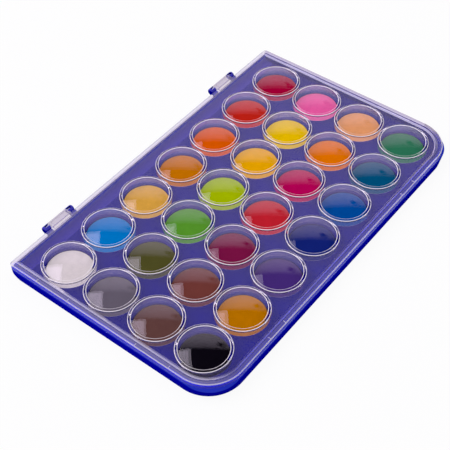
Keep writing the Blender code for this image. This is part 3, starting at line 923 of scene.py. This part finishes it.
def polystyrene(name, roughness=0.0, index=1.5, passing=0.96, skin=(0.97, 0.965, 1.0, 1.0)):
    """Clear plastic that lets this share of the lamps' light pass at each of its faces. Its skin is
    a tint and a clearness, alike all over or given for the left end, middle and right end; outside
    the plain clear material, they hold painted light and shade."""
    material, tree, shader, place = surface(name)
    shader.inputs["Roughness"].default_value = roughness
    shader.inputs["IOR"].default_value = index
    if isinstance(skin, list):
        along = wire(tree, "ShaderNodeSeparateXYZ", {0: place}).outputs["X"]
        ends = {"From Min": -FADE_HALF, "From Max": FADE_HALF}
        share = wire(tree, "ShaderNodeMapRange", {"Value": along, **ends})
        fade = wire(tree, "ShaderNodeValToRGB", {"Fac": share.outputs[0]})
        stops = fade.color_ramp.elements
        for position in FADE_STOPS:
            stops.new(position)
        for stop, colour in zip(stops, (skin[0], skin[1], skin[1], skin[2])):
            stop.color = colour
        tree.links.new(fade.outputs["Color"], shader.inputs["Base Color"])
        tree.links.new(fade.outputs["Alpha"], shader.inputs["Transmission Weight"])
    else:
        shader.inputs["Base Color"].default_value = (*skin[:3], 1)
        shader.inputs["Transmission Weight"].default_value = skin[3]
    path = wire(tree, "ShaderNodeLightPath")
    let_by = reckon(tree, path.outputs["Is Shadow Ray"], path.outputs["Is Diffuse Ray"], "MAXIMUM")
    light = (passing, passing, 1.01 * passing, 1)
    through = wire(tree, "ShaderNodeBsdfTransparent", {"Color": light}).outputs[0]
    glass = wire(tree, "ShaderNodeMixShader", {0: let_by, 1: shader.outputs[0], 2: through})
    tree.links.new(glass.outputs[0], tree.nodes["Material Output"].inputs["Surface"])
    return material


def rim_inset(x, y):
    """How far a point lies inside the lid's outline, and whether the rear side is its nearest."""
    corner_x, corner_y = HALF_LENGTH - FRONT_RADIUS, FRONT_Y + FRONT_RADIUS
    if abs(x) > corner_x and y < corner_y:
        return FRONT_RADIUS - math.hypot(abs(x) - corner_x, corner_y - y), False
    side = min(HALF_LENGTH - abs(x), y - FRONT_Y)
    return min(side, REAR_Y - y), REAR_Y - y < side


# How far out from its middle a cell ends, and where its ring skirt begins.
CELL_REACH = 13.4 * MM
SKIRT_FROM = 12.2 * MM


def cell_material(off, z):
    """The material at this distance from the middle of a cell and at this height: a painted
    highlight on the step's two bevelled edges, or the ring skirt.
    """
    for (outside, start_z), (inside, end_z) in (outer_edge, inner_edge):
        low_z, high_z = sorted((start_z, end_z))
        if inside < off < outside and low_z < z < high_z:
            return "painted_highlight_edge"
    return "clear_skirt" if z < PLATE_UNDER and off > SKIRT_FROM else None


def hinge_material(face, x, z):
    """The material of a face of the lid's half of a hinge: painted light on the tab and the pins,
    and painted shade on the walls of the tab's recess.
    """
    from_hinge = abs(abs(x) - HINGES[1])
    if from_hinge > HALF_BARREL + WELD:
        return "satin_pin_painted_light"
    in_recess = from_hinge < HALF_BARREL - MM and z > AXIS_Z + MM
    return "recess_painted_shade" if in_recess and abs(face.normal.z) < 0.5 else "satin_tab_painted_light"


def ends_a_snap(x, y):
    """Whether a point of the channel is where a snap block ends."""
    for low, high in SNAPS:
        along_x = high[0] - low[0] > high[1] - low[1]
        place, ends = (x, (low[0], high[0])) if along_x else (y, (low[1], high[1]))
        if min(abs(place - end) for end in ends) < WELD:
            return True
    return False


# The rim's materials lie in bands, each up to this distance inside the lid's outline. Their tints
# and clearness are painted light and shade: a painted highlight on the brim, pale painted bands at
# the rear, bands on the rim and the ridge painted darker towards the right end, and the step
# painted paler towards its ends.
CHANNEL_REACH = 2.6 * MM
STEP_REACH = 3.6 * MM
RIM_REACH = 4.4 * MM
PAINTED_HIGHLIGHT_CORNER = 18 * MM
BRIM = 0.4 * MM
RIM_BANDS = {
    BRIM: "satin_brim_painted_highlight",
    2.0 * MM: "satin_rim_painted_light",
    2.3 * MM: "clear_rim",
    3.2 * MM: "satin_ridge_painted_light",
    math.inf: "satin_step_painted_light",
}
REAR_BANDS = {
    BRIM: "clear_rim",
    1.2 * MM: "satin_rear_rim_painted_light",
    1.45 * MM: "clear_rim",
    math.inf: "satin_rear_ridge_painted_light",
}


def corner_material(face):
    """The material of a face at the brim of the front right corner, where a painted highlight makes
    it the palest.
    """
    if face.normal.z > 0.1:
        return "satin_corner_painted_highlight"
    if face.normal.x > 0.6:
        return "satin_brim_painted_highlight"
    return "clear_rim" if face.normal.x > 0.3 else "clear_wall_painted_blue"


def rim_material(face, x, y, z):
    """The material of a face of the rim or its channel, with the rim's painted light and shade."""
    inset, rear = rim_inset(x, y)
    # The ends of the snap blocks get a painted highlight.
    if z < CHANNEL_Z and MM < inset < CHANNEL_REACH and ends_a_snap(x, y):
        return "painted_highlight_edge"
    if inset < BRIM and x > HALF_LENGTH - PAINTED_HIGHLIGHT_CORNER and y < FRONT_Y + FRONT_RADIUS:
        return corner_material(face)
    # The outer wall at the front and the left is painted with the blue of the tray seen through it.
    if inset < BRIM and face.normal.z < 0.1:
        return "clear_rim" if rear or face.normal.x >= 0.4 else "clear_wall_painted_blue"
    if z < PLATE_Z + WELD:
        return "clear_rim" if inset <= STEP_REACH else None
    if inset > RIM_REACH:
        return None
    bands = REAR_BANDS if rear else RIM_BANDS
    return next(finish for edge, finish in bands.items() if inset < edge)


def lid_material(face):
    """The name of the material that this face has, unless it is plain clear polystyrene."""
    x, y, z = face.calc_center_median()
    off = min(math.hypot(x - cell_x, y - cell_y) for cell_x, cell_y in CELLS)
    if off < CELL_REACH:
        return cell_material(off, z)
    return hinge_material(face, x, z) if y > REAR_Y + WELD else rim_material(face, x, y, z)


# The fine edges round the domes and the ends of the snap blocks carry painted highlights. The rim
# and the hinges are satin, and their tints and clearness are painted light and shade, with a
# painted lilac cast of the tray seen through where the rim lies over it.
PAINTED_LILAC = (0.82, 0.78, 1.0)
LID_MATERIALS = (
    polystyrene("clear_polystyrene"),
    polystyrene("painted_highlight_edge", 0.3, 1.08, skin=(1.0, 0.95, 1.0, 0.12)),
    polystyrene("clear_skirt", passing=0.62),
    polystyrene("clear_rim", index=1.08, skin=(*PAINTED_LILAC, 0.97)),
    polystyrene("satin_brim_painted_highlight", 0.3, 1.08, skin=(0.82, 0.79, 0.73, 0.4)),
    polystyrene(
        "satin_rim_painted_light", 0.2, 1.08, skin=[(*PAINTED_LILAC, 0.83), (*PAINTED_LILAC, 0.91), (0.43, 0.36, 0.5, 0.88)]
    ),
    polystyrene(
        "satin_ridge_painted_light", 0.2, 1.08, skin=[(*PAINTED_LILAC, 0.5), (*PAINTED_LILAC, 0.86), (0.07, 0.05, 0.17, 0.46)]
    ),
    # The wall's blue is the tray seen through it, painted.
    polystyrene("clear_wall_painted_blue", index=1.08, skin=(0.25, 0.25, 1.0, 0.86)),
    polystyrene("satin_rear_rim_painted_light", 0.2, 1.08, skin=(0.76, 0.72, 0.65, 0.91)),
    polystyrene("satin_rear_ridge_painted_light", 0.2, 1.08, skin=(0.8, 0.75, 0.7, 0.78)),
    polystyrene("satin_tab_painted_light", 0.2, 1.08, skin=(0.66, 0.6, 0.7, 0.8)),
    polystyrene("recess_painted_shade", 0.3, 1.08, skin=(0.2, 0.17, 0.22, 0.5)),
    polystyrene("satin_pin_painted_light", 0.3, 1.08, skin=(0.6, 0.58, 1.0, 0.3)),
    polystyrene("satin_step_painted_light", 0.3, 1.08, skin=[(*PAINTED_LILAC, 0.78), (*PAINTED_LILAC, 0.98), (*PAINTED_LILAC, 0.35)]),
    polystyrene("satin_corner_painted_highlight", 0.2, 1.08, skin=(0.9, 0.87, 0.9, 0.2)),
)
lid.data.materials.clear()
for material in LID_MATERIALS:
    lid.data.materials.append(material)
give_materials(lid, [material.name for material in LID_MATERIALS[1:]], lid_material)
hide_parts("clear_lid")
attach(lid, "lid")


low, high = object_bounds()
